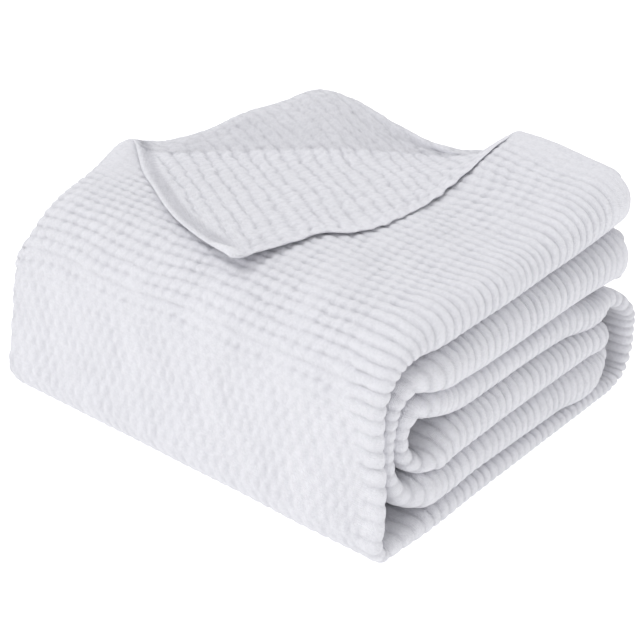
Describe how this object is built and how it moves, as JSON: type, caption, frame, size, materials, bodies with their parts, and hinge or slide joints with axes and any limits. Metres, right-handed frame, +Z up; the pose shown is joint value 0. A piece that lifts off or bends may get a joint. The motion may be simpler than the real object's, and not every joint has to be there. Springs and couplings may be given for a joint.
{
  "type": "folded throw blanket",
  "caption": "White cotton waffle-weave throw folded into a thick soft block, with one top corner turned back over a loose roll.",
  "frame": {"origin": "middle of the underside, on the surface the blanket lies on", "axes": "+X along the front towards the side that shows the rolled layer edges, +Y from the front panel to the back folds, +Z up"},
  "size_m": [0.254, 0.2, 0.1354],
  "materials": {
    "waffle_cotton": "matte woven waffle, slightly fluffy",
    "hem": "matte woven cotton, turned in and stitched"
  },
  "bodies": {
    "base": {"bottom_layer": "waffle_cotton", "fifth_layer": "waffle_cotton", "fourth_layer": "waffle_cotton", "third_layer": "waffle_cotton", "second_layer": "waffle_cotton", "inner_front_fold": "waffle_cotton", "core_front_fold": "waffle_cotton", "outer_back_fold": "waffle_cotton", "inner_back_fold": "waffle_cotton", "second_end_hem": "hem"},
    "front_wrap": {"front_panel": "waffle_cotton"},
    "top": {"top_layer": "waffle_cotton", "top_end_hem": "hem", "corner_roll": "waffle_cotton"},
    "corner": {"turned_corner": "waffle_cotton", "corner_side_hem": "hem", "corner_end_hem": "hem"}
  },
  "joints": [
    {"name": "front_opens", "type": "hinge", "parent": "base", "child": "front_wrap", "pos_m": [0, -0.1, 0], "axis": [1, 0, 0], "range_deg": [0, 90]},
    {"name": "top_opens", "type": "hinge", "parent": "front_wrap", "child": "top", "pos_m": [0, -0.1, 0.114], "axis": [1, 0, 0], "range_deg": [0, 90]},
    {"name": "corner_lifts", "type": "hinge", "parent": "top", "child": "corner", "pos_m": [-0.084, -0.026, 0.1192], "axis": [-0.7242, -0.6896, 0], "range_deg": [0, 110]}
  ]
}
